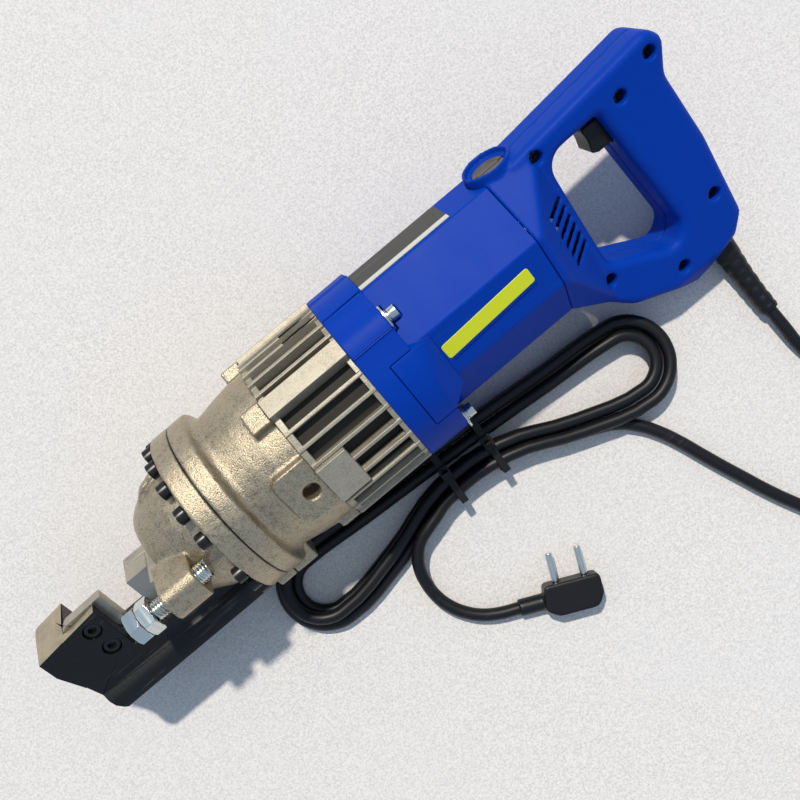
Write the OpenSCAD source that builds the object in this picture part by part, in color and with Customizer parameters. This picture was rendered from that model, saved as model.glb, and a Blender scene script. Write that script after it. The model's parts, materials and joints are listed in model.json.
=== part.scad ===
// Portable electro-hydraulic rebar cutter with a C-shaped jaw, lying on its side.
// The tool is drawn upright along X, with the operator's handle at +X, and is then laid on the floor.

/* [Pose on the floor] */
// Roll of the tool from lying flat on its side
roll = 31; // [30:0.5:32]
// Distance from the tool's axis to the floor, which is the radius of the flange and collar
rest_r = 56; // [55:0.5:58]

/* [Jaw frame] */
// Front tip of the jaw, from the front of the blue collar's datum
tip_x = -261; // [-265:1:-257]
// Back face of the tip block
tip_back_x = -237; // [-240:1:-234]
// Back end of the near cheek that carries the fixed blade
cheek_back_x = -212; // [-215:1:-210]
// Thickness of the jaw across its two flat sides
frame_w = 39.4; // [38:0.2:42]
// Height of the floor of the throat, below the axis
throat_drop = 23.5; // [23.5:0.5:26]
// Outer radius of the rounded spine
spine_r = 56.5; // [55:0.5:58]

/* [Blades and ram] */
// Thickness of each blade
blade_t = 7.8; // [7:0.1:9]
// Length of the fixed blade along the tool
fixed_blade_l = 30; // [28:1:32]
// Length of the moving blade along the tool
moving_blade_l = 16; // [15:1:18]
// Radius of the ram's rod
rod_r = 22.5; // [21:0.1:23]
// Radius of the piston
piston_r = 30.96; // [30.95:0.01:30.98]
// Bore radius of the cylinder liner
liner_bore_r = 31; // [31:0.01:31.02]
// Gap between the two blade edges at rest
throat_gap = 13; // [11:1:16]

/* [Castings] */
// Outer radius of the cylinder liner
liner_r = 35.5; // [34.5:0.5:36]
// Thickness of the front casting's flange ring
front_flange_t = 12.5; // [11:0.5:14]
// Thickness of the pump body's flange ring
rear_flange_t = 11; // [10:0.5:13]
// Height of the side handle pads from the axis
pad_y = 54; // [53.5:0.5:54.5]
// Radius of the threaded hole in each side handle pad
side_hole_r = 5.1; // [4.2:0.1:6]
// Depth of the threaded hole
side_hole_depth = 14; // [12:1:14]

/* [Motor end] */
// Number of cooling ribs between two corner columns at the top and bottom
rib_n = 6; // [4:1:8]
// Thickness of a cooling rib
rib_t = 2.4; // [2:0.2:3]
// Half width of the cover's flat top
cover_top_half = 14.6; // [13:0.2:16]
// Height of the cover's flat top above the axis
cover_top_z = 54.5; // [53:0.5:56]
// Half width of the cover between its flat sides
cover_side = 44; // [43:0.5:46]
// Wall of the plastic mouldings
shell_wall = 3; // [2.5:0.5:3.5]
// Radius of the brush cap's threaded part
brush_cap_r = 10.5; // [10:0.5:11]

/* [Handle] */
// Half thickness of the D handle
grip_half = 18; // [17:0.5:19]
// Rounding of the D handle's edges
grip_round = 6; // [5:0.5:6]
// Travel of the trigger
trigger_travel = 6; // [4:1:7]

/* [Cord] */
// Diameter of the mains cord
cord_d = 8.4; // [8:0.2:9]
// Diameter of each plug pin
pin_d = 4.8; // [4:0.1:4.8]

/* [Hidden] */
$fn = 64;

// Colours
frame_black = [0.10, 0.10, 0.10];
bare_steel = [0.66, 0.62, 0.54];
cast_silver = [0.72, 0.69, 0.60];
zinc = [0.80, 0.82, 0.78];
tool_blue = [0.03, 0.16, 0.66];
rubber_black = [0.06, 0.06, 0.06];
screw_black = [0.12, 0.12, 0.12];
copper = [0.72, 0.42, 0.22];

// The whole model is moved so that its box is centred on the origin
shift_x = 10.75;
shift_y = 32.54;

// Clearances
fit_gap = 0.1;
run_gap = 0.06;

// Cylinder and ram stations along the axis
flange_x = -115;
gasket_t = 0.6;
flange_front_x = flange_x - front_flange_t;
pump_front_x = flange_x + gasket_t;
bore_front_x = -151;
liner_front_x = -145;
liner_back_x = -86;
piston_x = -110;
piston_l = 10;
nose_x = -166;
flange_bolt_r = rest_r - 5;
frame_bolt_z = 6.5 - rest_r;
pump_room_r = 38;
side_hole_x = -69;
side_hole_z = 0;
m6_head_r = 5;
m6_head_l = 6;

// Jaw
head_half = frame_w / 2;
tip_top_z = 6.5;
cheek_top_z = 11.8;
crease_z = -36;
shear_y = -4.15;
fixed_blade_x = tip_back_x + 1;
fixed_blade_y0 = shear_y - fit_gap - blade_t;
fixed_blade_y1 = shear_y - fit_gap;
fixed_blade_bottom_z = -20;
blade_screw_x = -221.5;
blade_screw_z = [2, -14];
moving_blade_x = fixed_blade_x + fixed_blade_l + throat_gap;
moving_blade_y1 = 10.7;
ram_nose_z0 = -17;
ram_nose_z1 = 3.7;
ram_nose_y1 = 21;
ram_nose_back_x = moving_blade_x + moving_blade_l;
moving_screw_x = moving_blade_x + 7;
moving_screw_z = [-1.5, -11.5];

// Stopper on the near side
stop_y = -49;
stop_z = 3;
stop_r = 6;
stop_pitch = 1.75;
boss_x0 = -169;
boss_x1 = -146;
nut_flats = 19;
nut_l = 8;
stop_front_x = -193;
stop_back_x = -139;

// Housing and collar
housing_x0 = -60;
housing_x1 = -6;
housing_tube_r = rest_r - 7;
housing_bore_r = rest_r - 10.5;
rib_r = rest_r - 1;
column_top_r = rest_r + 4.5;
column_low_r = rest_r + 0.8;
column_angle = 37;
column_w = 15;
collar_x1 = 22;
collar_side_x1 = 7;
collar_r = rest_r - 0.1;
collar_corner_rise = 4.8;
collar_low_rise = 1.2;
collar_top_rise = 1.6;
collar_bolt_r = rest_r - 5;
washer_r = 8.5;
ring_boss_r = 15.5;
cover_x0 = -2;
cover_x1 = 112;
cover_side_z0 = -8;
cover_side_z1 = 24;
cover_bottom_half = 26;
cover_bottom_z = -38;
brush_x = 122;
brush_ring_z = 60.5;
brush_recess = 4;

// Motor and pump inside
armature_x0 = -50;
armature_x1 = 104;
pump_shaft_z = -17.5;
gear_r = 12.4;
gear_x = -48;
eccentric = 1.2;

// Handle stations
handle_x0 = cover_x1 + 0.3;
screw_points = [[228, 55], [202, 45.5], [143.5, 50], [225.5, -44], [188, -71], [144, -44]];
trigger_x = 175.5;
trigger_z0 = 23;
trigger_z1 = 41;
trigger_half = 8.5;
trigger_back_x = 203;
relief_x = 222;
screw_seat_y = 9;

// Cord routes on the floor, before the model is centred
relief_route = [[222, -66, 15.9], [222, -75, 10.8], [222, -86, 8.6], [221.5, -100, 7.4], [221, -115, 6.9],
  [221, -129, 6.6]];
relief_radius = [8.4, 8.4, 7.9, 7.0, 6.5, 6.3];
lead_start = [[221, -129, 6.6], [221, -143, 6.3], [221.6, -160, 4.2], [226, -181, 3.4], [231, -199, 3.4],
  [234, -218, 3.4], [232, -237, 3.4], [224, -254, 3.4], [209, -265, 3.4], [191, -268, 3.4],
  [174, -262, 3.4], [161, -249, 3.4], [152, -233, 3.4], [145, -218, 3.4], [139, -203, 3.4],
  [133, -188, 3.4], [127, -172, 3.4], [121.5, -157, 3.4], [115, -143, 3.4], [107, -131, 3.4],
  [97, -121.5, 3.4]];
tail_end = [[-47.5, -97.5, 12.9], [-54.5, -103, 11.6], [-60, -111, 9.2], [-63, -121, 6.8], [-63.5, -132, 5.4],
  [-61, -143, 5.2], [-56, -152.5, 5.2], [-48.5, -161, 5.4], [-38.5, -167.77, 5.6], [-27.6, -172.85, 5.6]];
plug_place = [-27.6, -172.85];
plug_angle = -25;

// Hank of cord beside the tool: racetrack loops in two layers, drawn in at the waist and bowed to the tool
cord_r = cord_d / 2;
cord_floor_z = cord_r - cord_d / 10;
hank_pitch = cord_d + 1;
hank_fold_r = 16;
hank_run = 240;
hank_waist_half = 2.5;
hank_bow = 16;
hank_centre = [6.3, -86.5];
hank_angle = -4;
hank_first = 1;
hank_last = 75;
hank_mid = (hank_first + hank_last) / 2;
climb_from = 36;
climb_to = 41;
tie_t = 1.2;
tie_y = hank_bow * pow(cos(18), 2);
tie_half = 24;
hank_end = 0.73 * hank_point(hank_last) + 0.27 * hank_point(hank_last + 1);
hank_route = concat([for (s = [hank_first:hank_last]) hank_point(s)], [hank_end]);
lead_route = concat(lead_start, [hank_route[0] + 10 * unit(hank_route[0] - hank_route[1]), hank_route[0]]);
tail_route = concat([hank_end, hank_end + cord_d * unit(hank_end - hank_point(hank_last))], tail_end);

// Centre of the hank's cord at a station: 24 stations a loop, 5 to each run and 7 to each fold
function hank_point(s) =
  let (
    k = s % 24,
    fold_r = hank_fold_r + hank_pitch * abs(s - hank_mid) / 24,
    z = cord_floor_z + hank_pitch * max(0, min(1, (s - climb_from) / (climb_to - climb_from))),
    on_run = k <= 5 || (k >= 12 && k <= 17),
    side = k <= 5 || k > 17 ? -1 : 1,
    x = k <= 5 ? hank_run * (0.5 - k / 5) : hank_run * ((k - 12) / 5 - 0.5),
    drawn = pow(cos(180 * x / hank_run), 2),
    lift = on_run && abs(x) < 0.15 * hank_run ? tie_t + 0.9 : 0,
    turn = k < 12 ? 270 - 180 * (k - 5) / 7 : 90 - 180 * (k - 17) / 7,
    p = on_run
      ? [x, side * (fold_r - (hank_fold_r - hank_waist_half) * drawn) + hank_bow * drawn]
      : [(k < 12 ? -1 : 1) * hank_run / 2 + fold_r * cos(turn), fold_r * sin(turn)]
  )
  [
    hank_centre[0] + p[0] * cos(hank_angle) - p[1] * sin(hank_angle),
    hank_centre[1] + p[0] * sin(hank_angle) + p[1] * cos(hank_angle),
    z + lift
  ];

// Unit helpers
function unit(v) = v / norm(v);
function bump(a, centre, width) = exp(-pow((a - centre) / width, 2));

// Corner points [x, y, radius] of an outline, with each corner rounded in five steps
function rounded(pts) = [
  for (i = [0:len(pts) - 1])
    let (
      p = [pts[i][0], pts[i][1]],
      before = pts[(i + len(pts) - 1) % len(pts)],
      after = pts[(i + 1) % len(pts)],
      d1 = unit([before[0], before[1]] - p),
      d2 = unit([after[0], after[1]] - p),
      half = acos(max(-1, min(1, d1 * d2))) / 2,
      r = pts[i][2],
      centre = p + unit(d1 + d2) * r / sin(half),
      a1 = atan2((p + d1 * r / tan(half) - centre)[1], (p + d1 * r / tan(half) - centre)[0]),
      a2 = atan2((p + d2 * r / tan(half) - centre)[1], (p + d2 * r / tan(half) - centre)[0]),
      turn = (a2 - a1 > 180) ? a2 - a1 - 360 : (a2 - a1 < -180) ? a2 - a1 + 360 : a2 - a1
    )
    for (k = [0:(r > 0 ? 5 : 0)])
      r > 0 ? centre + r * [cos(a1 + turn * k / 5), sin(a1 + turn * k / 5)] : p
];

// Lays the upright tool on the floor
module lie() {
  translate([shift_x, shift_y, rest_r]) rotate([roll - 90, 0, 0]) children();
}

// Moves floor pieces with the model
module on_floor() {
  translate([shift_x, shift_y, 0]) children();
}

// Cylinder along X
module rod(x0, x1, r) {
  translate([x0, 0, 0]) rotate([0, 90, 0]) cylinder(h = x1 - x0, r = r);
}

// Ring along X
module ring(x0, x1, r_in, r_out) {
  difference() {
    rod(x0, x1, r_out);
    rod(x0 - 1, x1 + 1, r_in);
  }
}

// Body turned about X, from points [radius, x]
module turned(profile) {
  rotate([0, 90, 0]) rotate_extrude() polygon(profile);
}

// Outline in X and Z, as thick as from y0 to y1
module side_plate_of(points, y0, y1) {
  translate([0, y1, 0]) rotate([90, 0, 0]) linear_extrude(y1 - y0) polygon(points);
}

// Outline in Y and Z, as long as from x0 to x1
module cross_plate_of(points, x0, x1) {
  translate([x0, 0, 0]) rotate([90, 0, 90]) linear_extrude(x1 - x0) polygon(points);
}

// Hexagonal prism along X, measured across its flats
module hex_along(x0, x1, flats) {
  translate([x0, 0, 0]) rotate([0, 90, 0]) cylinder(h = x1 - x0, r = flats / 2 / cos(30), $fn = 6);
}

// Socket head screw along +X from its head, with its hex socket
module socket_screw(head_r, head_l, shank_r, shank_l) {
  difference() {
    union() {
      rod(0, head_l, head_r);
      rod(head_l, head_l + shank_l, shank_r);
    }
    hex_along(-1, head_l * 0.6, head_r * 1.1);
  }
}

// Tube swept along points, with one radius for each point, and flat where it meets the floor
module swept(points, radii, sides, turn = 0.5) {
  n = len(points);
  rings = [
    for (i = [0:n - 1])
      let (
        dir = unit(points[min(i + 1, n - 1)] - points[max(i - 1, 0)]),
        across = unit(cross(dir, [0, 0, 1])),
        up = cross(across, dir)
      )
      for (k = [0:sides - 1])
        let (
          a = 360 * (k + turn) / sides,
          p = points[i] + radii[i] * (cos(a) * across + sin(a) * up)
        )
        [p[0], p[1], max(p[2], 0)]
  ];
  walls = [
    for (i = [0:n - 2])
      for (k = [0:sides - 1])
        let (
          a = i * sides + k,
          b = i * sides + (k + 1) % sides
        )
        each [[a, b + sides, b], [a, a + sides, b + sides]]
  ];
  caps = [
    for (k = [1:sides - 2])
      each [[0, k, k + 1], [(n - 1) * sides, (n - 1) * sides + k + 1, (n - 1) * sides + k]]
  ];
  polyhedron(points = rings, faces = [for (f = concat(walls, caps)) [f[0], f[2], f[1]]]);
}

// Same radius for every point of a route
function even_radii(route, r) = [for (p = route) r];

// ---- Jaw and ram ----

// Outside of the front casting, which the jaw's arm is cut to fit
function casting_profile(grow) = [
  [0, nose_x - grow], [26.5 + grow, nose_x - grow], [29.5 + grow, -163.5], [33 + grow, -159],
  [36.5 + grow, -153],
  [40 + grow, -146], [42.4 + grow, -140], [rest_r - 12 + grow, -134], [rest_r - 10.5 + grow, flange_front_x],
  [0, flange_front_x]
];

module cutter_frame() {
  spine_section = [
    [-head_half, -throat_drop], [-head_half, crease_z], [-24, -39.5], [-26, -43.5],
    for (a = [-27:6:27]) [spine_r * sin(a), -spine_r * cos(a)],
    [26, -43.5], [24, -39.5], [head_half, crease_z], [head_half, -throat_drop]
  ];
  spine_side = rounded([
    [tip_x + 9, -20, 0], [tip_x + 12, -36, 4], [tip_x + 19, -spine_r - 0.5, 19],
    [flange_front_x - fit_gap, -spine_r - 0.5, 0], [flange_front_x - fit_gap, -20, 0]
  ]);
  tip_side = rounded([
    [tip_x, tip_top_z, 1.5], [tip_back_x, cheek_top_z - 2.5, 0.8], [tip_back_x, -throat_drop - 1, 0],
    [tip_x + 9.5, -throat_drop - 1, 0]
  ]);
  cheek_side = rounded([
    [tip_x, tip_top_z, 1.5], [cheek_back_x, cheek_top_z, 1], [cheek_back_x, -throat_drop + 1, 0],
    [cheek_back_x + 7, -throat_drop - 1, 0], [tip_x + 9.5, -throat_drop - 1, 0]
  ]);
  color(frame_black) lie() difference() {
    union() {
      intersection() {
        cross_plate_of(spine_section, tip_x, flange_front_x - fit_gap);
        side_plate_of(spine_side, -spine_r, spine_r);
      }
      side_plate_of(tip_side, -head_half, head_half);
      side_plate_of(cheek_side, -head_half, shear_y - fit_gap);
    }
    // pocket of the fixed blade
    translate([tip_back_x, fixed_blade_y0 - fit_gap, fixed_blade_bottom_z - fit_gap])
      cube([fixed_blade_l + 30, blade_t + 10, 60]);
    // counterbores of its two screws
    for (z = blade_screw_z) {
      translate([blade_screw_x, -head_half - 1, z]) rotate([-90, 0, 0]) cylinder(h = 6, r = m6_head_r + 0.7);
      translate([blade_screw_x, -head_half - 1, z]) rotate([-90, 0, 0]) cylinder(h = 12, r = 3.2);
    }
    // far front corner of the tip, chamfered, and the slanted front face
    translate([tip_x, head_half, 0]) rotate([0, 0, 45]) cube([4, 4, 80], center = true);
    translate([tip_x, head_half, 0]) rotate([0, 0, 6]) translate([-20, -80, -70]) cube([20, 90, 100]);
    // saddle for the front casting
    turned(casting_profile(fit_gap));
    // tapped holes of the frame bolts
    for (y = [-14, 14]) translate([0, y, frame_bolt_z]) rod(flange_front_x - 15, flange_front_x + 1, 3.05);
  }
}

module fixed_blade() {
  profile = rounded([
    [fixed_blade_x, fixed_blade_bottom_z, 0.5], [fixed_blade_x, cheek_top_z - 2, 1],
    [fixed_blade_x + 4, cheek_top_z + 0.2, 1], [fixed_blade_x + fixed_blade_l, cheek_top_z + 1, 0.6],
    [fixed_blade_x + fixed_blade_l, fixed_blade_bottom_z, 0.6]
  ]);
  color(bare_steel) lie() difference() {
    side_plate_of(profile, fixed_blade_y0, fixed_blade_y1);
    for (z = blade_screw_z)
      translate([blade_screw_x, fixed_blade_y0 - 1, z]) rotate([-90, 0, 0]) cylinder(h = 7.5, r = 3.02);
  }
}

module fixed_blade_screws() {
  color(screw_black) lie()
    for (z = blade_screw_z)
      translate([blade_screw_x, -head_half + 5 - m6_head_l + 0.9, z]) rotate([0, 0, 90])
        socket_screw(m6_head_r, m6_head_l - 1, 3, fixed_blade_y0 + 6.3 + head_half - 4.9);
}

module moving_blade() {
  profile = rounded([
    [moving_blade_x, ram_nose_z0, 0.5], [moving_blade_x, ram_nose_z1, 0.5],
    [ram_nose_back_x - fit_gap, ram_nose_z1, 0.5], [ram_nose_back_x - fit_gap, ram_nose_z0, 0.5]
  ]);
  color(bare_steel) lie() difference() {
    side_plate_of(profile, shear_y + 0.05, moving_blade_y1 - fit_gap);
    for (z = moving_screw_z)
      translate([moving_screw_x, moving_blade_y1 - 9, z]) rotate([-90, 0, 0]) cylinder(h = 10, r = 2.52);
  }
}

module moving_blade_screws() {
  color(screw_black) lie()
    for (z = moving_screw_z)
      translate([moving_screw_x, ram_nose_y1 - 0.8, z]) rotate([0, 0, -90])
        socket_screw(4.2, 4.5, 2.5, 13);
}

module ram() {
  piston = [
    [0, piston_x], [piston_r, piston_x], [piston_r, piston_x + 3], [27.4, piston_x + 3],
    [27.4, piston_x + 7], [piston_r, piston_x + 7], [piston_r, piston_x + piston_l], [0, piston_x + piston_l]
  ];
  color(bare_steel) lie() difference() {
    union() {
      turned(piston);
      difference() {
        rod(ram_nose_back_x, piston_x + 1, rod_r);
        translate([ram_nose_back_x - 1, -40, ram_nose_z1]) cube([22, 80, 40]);
      }
      intersection() {
        rod(moving_blade_x, ram_nose_back_x + 1, rod_r);
        translate([moving_blade_x, moving_blade_y1, ram_nose_z0])
          cube([moving_blade_l + 2, ram_nose_y1 - moving_blade_y1, ram_nose_z1 - ram_nose_z0]);
      }
    }
    for (z = moving_screw_z)
      translate([moving_screw_x, ram_nose_y1 - 5.3, z]) rotate([-90, 0, 0]) cylinder(h = 10, r = 4.5);
    for (z = moving_screw_z)
      translate([moving_screw_x, moving_blade_y1 - 1, z]) rotate([-90, 0, 0]) cylinder(h = 10, r = 2.7);
    // the two wear grooves on the flat top
    for (y = [moving_blade_y1 + 1.5, rod_r - 4])
      translate([moving_blade_x + 2, y, ram_nose_z1 - 0.5]) cube([30, 0.8, 1]);
  }
}

module piston_seal() {
  color(rubber_black) lie() ring(piston_x + 3.1, piston_x + 6.9, 27.5, piston_r + 0.02);
}

module return_spring() {
  turns = 5;
  wire_r = 1.8;
  coil_r = 26.7;
  start_x = bore_front_x + wire_r + 0.2;
  length = piston_x - wire_r - 0.2 - start_x;
  n = turns * 12;
  route = [
    for (i = [0:n])
      let (a = 360 * turns * i / n)
      [start_x + length * i / n, coil_r * cos(a), coil_r * sin(a)]
  ];
  color(zinc) lie() coil_tube(route, wire_r, 6);
}

// Tube along a coil about X
module coil_tube(route, r, sides) {
  n = len(route);
  rings = [
    for (i = [0:n - 1])
      let (
        out = unit([0, route[i][1], route[i][2]])
      )
      for (k = [0:sides - 1])
        route[i] + r * (cos(360 * k / sides) * out + sin(360 * k / sides) * [1, 0, 0])
  ];
  walls = [
    for (i = [0:n - 2])
      for (k = [0:sides - 1])
        let (
          a = i * sides + k,
          b = i * sides + (k + 1) % sides
        )
        each [[a, b + sides, b], [a, a + sides, b + sides]]
  ];
  caps = [
    for (k = [1:sides - 2])
      each [[0, k, k + 1], [(n - 1) * sides, (n - 1) * sides + k + 1, (n - 1) * sides + k]]
  ];
  polyhedron(points = rings, faces = [for (f = concat(walls, caps)) f]);
}

// ---- Front casting ----

module cylinder_liner() {
  color(bare_steel) lie() ring(liner_front_x, liner_back_x, liner_bore_r, liner_r);
}

module front_casting() {
  outer = [
    [rod_r + run_gap, nose_x], each [for (i = [1:8]) casting_profile(0)[i]],
    [rest_r, flange_front_x], [rest_r, flange_x], [liner_r + 0.05, flange_x],
    [liner_r + 0.05, liner_front_x], [29, liner_front_x], [29, bore_front_x], [rod_r + run_gap, bore_front_x]
  ];
  boss_section = rounded([
    [stop_y - 9.5, stop_z - 12, 7], [stop_y - 9.5, stop_z + 8.5, 7], [-24, stop_z + 12, 0],
    [-24, stop_z - 14, 0]
  ]);
  color(cast_silver) lie() difference() {
    union() {
      turned(outer);
      flange_lug(flange_front_x, flange_x);
      difference() {
        cross_plate_of(boss_section, boss_x0, boss_x1);
        rod(boss_x0 - 1, boss_x1 + 1, 31.5);
      }
      // stiffening rib along the top of the dome
      difference() {
        side_plate_of([[-161, 30], [-147, 43], [flange_front_x, 49], [flange_front_x, 30]], -3, 3);
        rod(-170, flange_x, 36);
      }
    }
    // threaded way of the stopper bolt, run out along the dome
    translate([0, stop_y, stop_z]) rod(boss_x0 - 1, flange_front_x - 1, stop_r + run_gap);
    // groove of the wiper seal
    ring(nose_x + 1, nose_x + 4.4, 0, 25);
    // screw holes round the flange
    flange_screw_places() rod(flange_front_x - 1, flange_x + 1, 3.2);
    // frame bolts, sunk from behind
    for (y = [-14, 14]) {
      translate([0, y, frame_bolt_z]) rod(flange_front_x - 1, flange_x + 1, 3.2);
      translate([0, y, frame_bolt_z]) rod(flange_x - 6.5, flange_x + 1, 5.3);
    }
  }
}

// Square lug at the bottom of both flanges
module flange_lug(x0, x1) {
  difference() {
    cross_plate_of(
      rounded([[-21, -38, 0], [-21, -rest_r - 3.5, 3], [21, -rest_r - 3.5, 3], [21, -38, 0]]), x0, x1
    );
    rod(x0 - 1, x1 + 1, 40);
  }
}

// Places of the flange screws, spread evenly over the top and again beside the arm
module flange_screw_places() {
  for (side = [-1, 1]) {
    for (k = [0:3]) rotate([side * (10 + 20 * k), 0, 0]) translate([0, 0, flange_bolt_r]) children();
    for (k = [0:2]) rotate([side * (105 + 17 * k), 0, 0]) translate([0, 0, flange_bolt_r]) children();
  }
}

module wiper_seal() {
  color(rubber_black) lie() ring(nose_x + 1.1, nose_x + 4.3, rod_r + 0.03, 24.9);
}

module frame_bolts() {
  color(screw_black) lie()
    for (y = [-14, 14])
      translate([flange_x - 0.4, y, frame_bolt_z]) rotate([0, 0, 180])
        socket_screw(m6_head_r, m6_head_l, 3, 18);
}

module stopper_bolt() {
  turns = floor((stop_back_x - stop_front_x) / stop_pitch) - 1;
  profile = [
    [0, stop_front_x], [stop_r - 0.9, stop_front_x],
    for (i = [0:turns]) each [
      [stop_r - 0.7, stop_front_x + 0.2 + stop_pitch * i],
      [stop_r, stop_front_x + 0.2 + stop_pitch * (i + 0.5)]
    ],
    [stop_r - 0.9, stop_back_x], [0, stop_back_x]
  ];
  color(zinc) lie() translate([0, stop_y, stop_z]) turned(profile);
}

module stopper_nuts() {
  color(zinc) lie() translate([0, stop_y, stop_z])
    for (i = [0, 1])
      difference() {
        rotate([i * 18, 0, 0]) intersection() {
          hex_along(stop_front_x + i * (nut_l + 0.2), stop_front_x + i * (nut_l + 0.2) + nut_l, nut_flats);
          turned([
            [0, stop_front_x + i * (nut_l + 0.2)], [9.6, stop_front_x + i * (nut_l + 0.2)],
            [11, stop_front_x + i * (nut_l + 0.2) + 1], [11, stop_front_x + i * (nut_l + 0.2) + nut_l - 1],
            [9.6, stop_front_x + i * (nut_l + 0.2) + nut_l], [0, stop_front_x + i * (nut_l + 0.2) + nut_l]
          ]);
        }
        rod(stop_front_x - 1, stop_front_x + 2 * nut_l + 2, stop_r + 0.03);
      }
}

module flange_screws() {
  color(screw_black) lie()
    flange_screw_places() translate([flange_front_x - m6_head_l, 0, 0])
      socket_screw(m6_head_r, m6_head_l, 3, front_flange_t + gasket_t + 7);
}

module flange_gasket() {
  color(rubber_black) lie() difference() {
    ring(flange_x, pump_front_x, liner_r + 0.1, rest_r - 0.8);
    flange_screw_places() rod(flange_x - 1, pump_front_x + 1, 3.2);
  }
}

// ---- Pump ----

// Ear at a corner of the pump body and housing, at an angle from the top
module corner_column(angle, x0, x1, r, w) {
  rotate([angle, 0, 0]) translate([x0, -w / 2, 46.5]) cube([x1 - x0, w, r - 46.5]);
}

module pump_body() {
  outer = [
    [0, pump_front_x], [rest_r, pump_front_x], [rest_r, pump_front_x + rear_flange_t],
    [rest_r - 6, pump_front_x + rear_flange_t + 2], [rest_r - 7.5, -98], [rest_r - 6.5, -92],
    [rest_r - 5, -84],
    [rest_r - 3.6, -74], [rest_r - 3.2, housing_x0], [0, housing_x0]
  ];
  pad = rounded([[-84, -17, 8], [-84, 20, 6], [housing_x0, 20, 0], [housing_x0, -17, 0]]);
  color(cast_silver) lie() difference() {
    union() {
      turned(outer);
      flange_lug(pump_front_x, pump_front_x + rear_flange_t + 5);
      side_plate_of(pad, -pad_y, pad_y);
      for (a = [-column_angle, column_angle])
        corner_column(a, -72.5, housing_x0, column_top_r - 0.5, column_w);
      for (a = [180 - column_angle, 180 + column_angle])
        corner_column(a, -72.5, housing_x0, column_low_r - 0.5, column_w);
    }
    // chamber of the liner in front, and the room of the pump behind
    rod(pump_front_x - 1, liner_back_x, liner_r + 0.05);
    rod(-76, housing_x0 + 1, pump_room_r);
    // side handle holes
    for (side = [-1, 1]) {
      translate([side_hole_x, side * (pad_y + 1), side_hole_z]) rotate([side * 90, 0, 0])
        cylinder(h = side_hole_depth + 1, r = side_hole_r);
      translate([side_hole_x, side * (pad_y + 1), side_hole_z]) rotate([side * 90, 0, 0])
        cylinder(h = 1.5, r = side_hole_r + 1);
    }
    flange_screw_places() rod(pump_front_x - 1, pump_front_x + 9, 3.05);
    // seat of the front shaft bearing and the suction way
    translate([0, 0, pump_shaft_z]) rod(-83, -75, 8.05);
    translate([0, 0, 20]) rod(liner_back_x - 1, -75, 3);
  }
}

module oil_bladder() {
  color(rubber_black) lie() difference() {
    ring(-71.5, -62, 34, pump_room_r - 0.2);
    for (a = [0:30:330]) rotate([a, 0, 0]) translate([0, 0, pump_room_r]) rod(-70, -60, 1.2);
  }
}

module pump_block() {
  color(cast_silver) lie() difference() {
    union() {
      rod(-76, -72, 37);
      translate([-72, -14, 4]) cube([18, 28, 26]);
    }
    translate([0, 0, pump_shaft_z]) rod(-77, -71, 9);
    translate([-63, 0, -10]) cylinder(h = 36, r = 4.05);
    translate([0, 0, 20]) rod(-77, -73, 3);
  }
}

module pump_plunger() {
  color(bare_steel) lie() {
    translate([-63, 0, pump_shaft_z + 10.8 + eccentric]) cylinder(h = 22, r = 4);
  }
}

module pump_shaft() {
  color(bare_steel) lie() difference() {
    union() {
      translate([0, 0, pump_shaft_z]) rod(-82.5, -34, 4);
      translate([0, 0, pump_shaft_z + eccentric]) rod(-67.5, -58.5, 6);
    }
    translate([-90, -1, pump_shaft_z - 20]) cube([3, 2, 3]);
  }
}

module eccentric_bearing() {
  color(zinc) lie() translate([0, 0, pump_shaft_z + eccentric]) ring(-67, -59, 6.04, 10.5);
}

module pump_shaft_bearings() {
  color(zinc) lie() translate([0, 0, pump_shaft_z]) {
    ring(-82, -76.2, 4.04, 8);
    ring(-41.5, -36, 4.04, 8);
  }
}

// Gear along X with straight teeth on a plain rim
module gear(x0, x1, root_r, tip_r, teeth, phase) {
  rod(x0, x1, root_r);
  for (i = [0:teeth - 1])
    rotate([360 * (i + phase) / teeth, 0, 0])
      cross_plate_of([
        [-1.0, root_r - 0.6], [-0.55, tip_r], [0.55, tip_r], [1.0, root_r - 0.6]
      ], x0, x1);
}

module reduction_gear() {
  color(bare_steel) lie() difference() {
    translate([0, 0, pump_shaft_z]) gear(gear_x, gear_x + 6, gear_r - 1.3, gear_r + 0.5, 24, 0);
    translate([0, 0, pump_shaft_z]) rod(gear_x - 1, gear_x + 7, 4.03);
  }
}

// ---- Motor ----

module armature_shaft() {
  color(bare_steel) lie() {
    rod(armature_x0 + 8, armature_x1, 4);
    gear(armature_x0, armature_x0 + 9, 3.9, 5.6, 9, 0);
  }
}

module armature_core() {
  color(copper) lie() difference() {
    union() {
      rod(24, 66, 21);
      rod(17, 24, 17);
      rod(66, 73, 17);
    }
    rod(0, 100, 4.02);
    for (a = [0:30:330]) rotate([a, 0, 0]) translate([24.5, -1, 18]) cube([41, 2, 5]);
  }
}

module commutator() {
  color(copper) lie() difference() {
    rod(76, 90, 12);
    rod(70, 100, 4.02);
    for (a = [0:15:345]) rotate([a, 0, 0]) translate([75, -0.3, 11]) cube([16, 0.6, 2]);
  }
}

module cooling_fan() {
  color(rubber_black) lie() difference() {
    union() {
      rod(2, 4, 33);
      rod(2, 12, 9);
      for (a = [0:30:330]) rotate([a, 0, 0]) translate([3, -1, 14]) cube([9, 2, 18]);
    }
    rod(0, 20, 4.02);
  }
}

module armature_bearings() {
  color(zinc) lie() {
    ring(-35, -26, 4.04, 11);
    ring(93, 101, 4.04, 9.5);
  }
}

module stator_core() {
  color([0.35, 0.35, 0.36]) lie() difference() {
    rod(24, 68, 34.4);
    rod(20, 72, 21.6);
    for (s = [-1, 1]) translate([20, s * 24 - 6, -12]) cube([52, 12, 24]);
  }
}

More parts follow.
